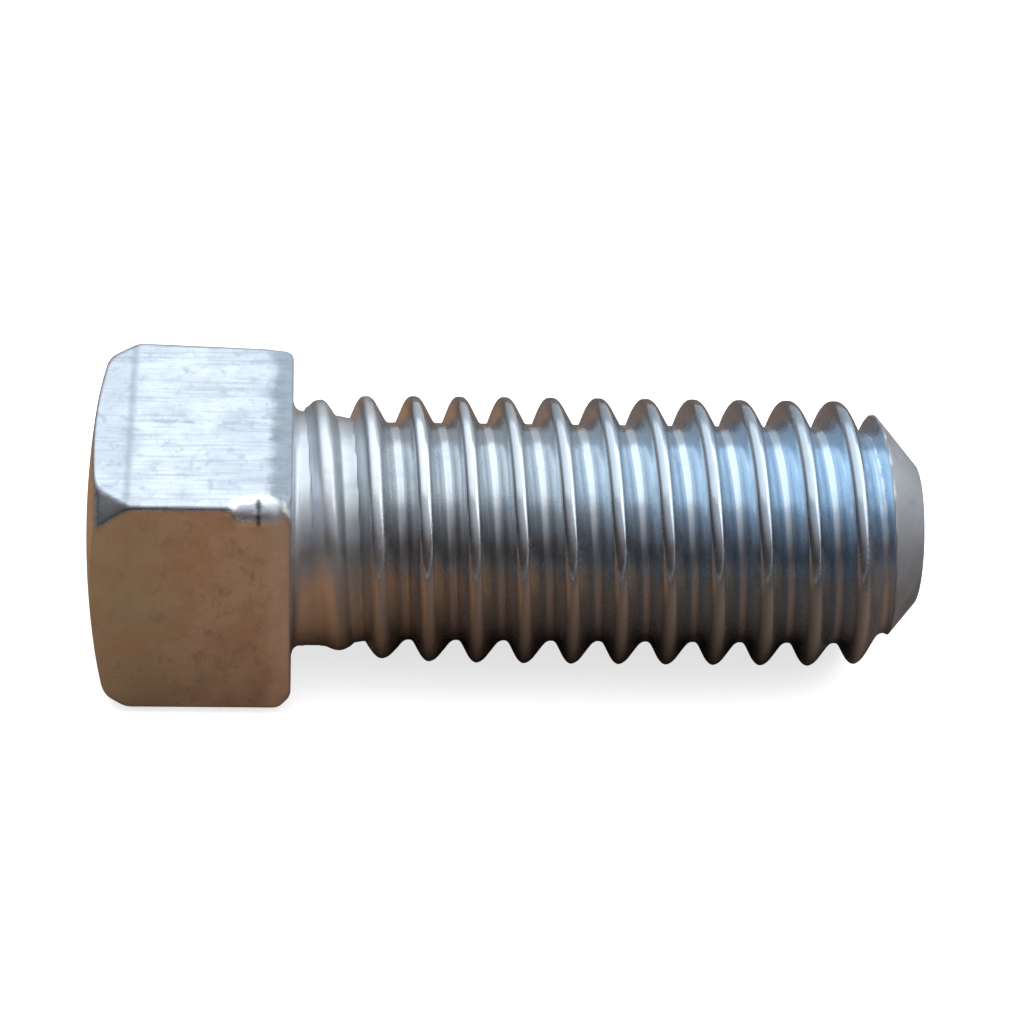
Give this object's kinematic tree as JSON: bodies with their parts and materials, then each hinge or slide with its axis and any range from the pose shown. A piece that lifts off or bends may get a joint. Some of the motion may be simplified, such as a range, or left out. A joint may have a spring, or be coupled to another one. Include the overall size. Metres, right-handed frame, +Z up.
{
  "type": "square head set screw",
  "caption": "Set screw with a crowned square head, a short plain neck, a coarse right-hand thread and a cup point with a 45 degree chamfer.",
  "frame": {"origin": "on the screw's axis, in the plane of the flat face under the head", "axes": "+X along the screw's axis towards the point, so the head is on the -X side; +Z up, square to one flat of the head, with the screw lying on its side"},
  "size_m": [0.0245, 0.008, 0.008],
  "materials": {
    "zinc_plated_steel": "bright zinc plating, mirror-like on the rolled thread and slightly mottled on the head"
  },
  "bodies": {
    "root": {"set_screw": "zinc_plated_steel"}
  },
  "joints": []
}
